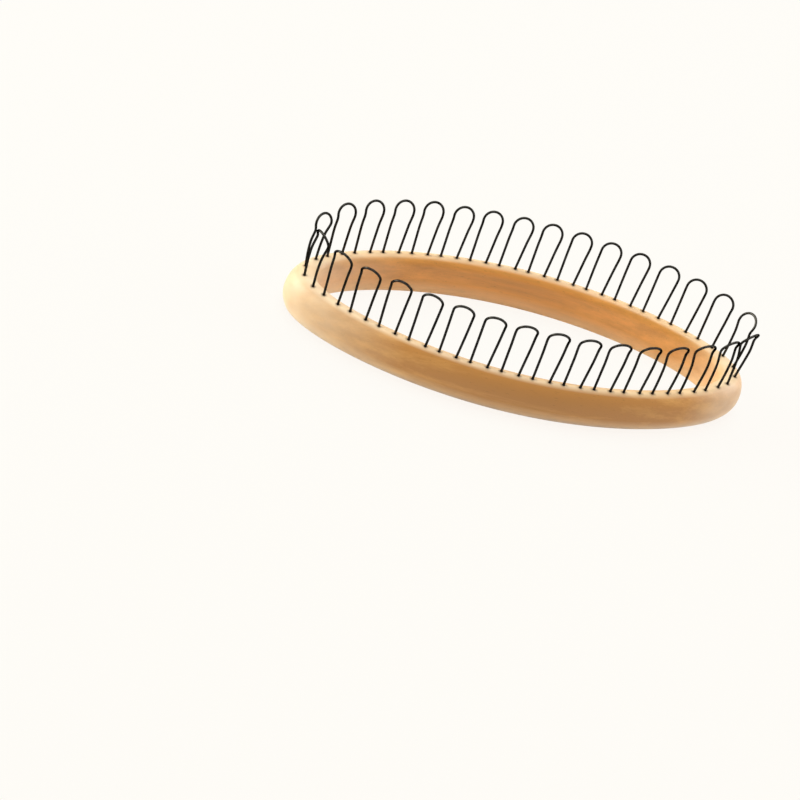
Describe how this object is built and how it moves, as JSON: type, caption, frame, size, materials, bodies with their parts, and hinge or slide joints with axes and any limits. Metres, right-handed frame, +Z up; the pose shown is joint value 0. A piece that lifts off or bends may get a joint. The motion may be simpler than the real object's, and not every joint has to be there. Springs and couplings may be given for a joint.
{
  "type": "oval knitting loom",
  "caption": "Oval hand knitting loom: a low wooden hoop with a ring of bent steel wire pegs standing on its rounded top, for knitting socks and other narrow tubes.",
  "frame": {"origin": "middle of the oval, on the flat base", "axes": "+Z up, from the base towards the heads of the pegs; +X along the oval's long axis; +Y across the oval, towards its back side"},
  "size_m": [0.171, 0.0694, 0.0381],
  "materials": {
    "wood": "satin lacquer",
    "wire": "bright"
  },
  "bodies": {
    "root": {"hoop": "wood", "wire_peg_01": "wire", "wire_peg_02": "wire", "wire_peg_03": "wire", "wire_peg_04": "wire", "wire_peg_05": "wire", "wire_peg_06": "wire", "wire_peg_07": "wire", "wire_peg_08": "wire", "wire_peg_09": "wire", "wire_peg_10": "wire", "wire_peg_11": "wire", "wire_peg_12": "wire", "wire_peg_13": "wire", "wire_peg_14": "wire", "wire_peg_15": "wire", "wire_peg_16": "wire", "wire_peg_17": "wire", "wire_peg_18": "wire", "wire_peg_19": "wire", "wire_peg_20": "wire", "wire_peg_21": "wire", "wire_peg_22": "wire", "wire_peg_23": "wire", "wire_peg_24": "wire", "wire_peg_25": "wire", "wire_peg_26": "wire", "wire_peg_27": "wire", "wire_peg_28": "wire", "wire_peg_29": "wire", "wire_peg_30": "wire", "wire_peg_31": "wire", "wire_peg_32": "wire"}
  },
  "joints": []
}
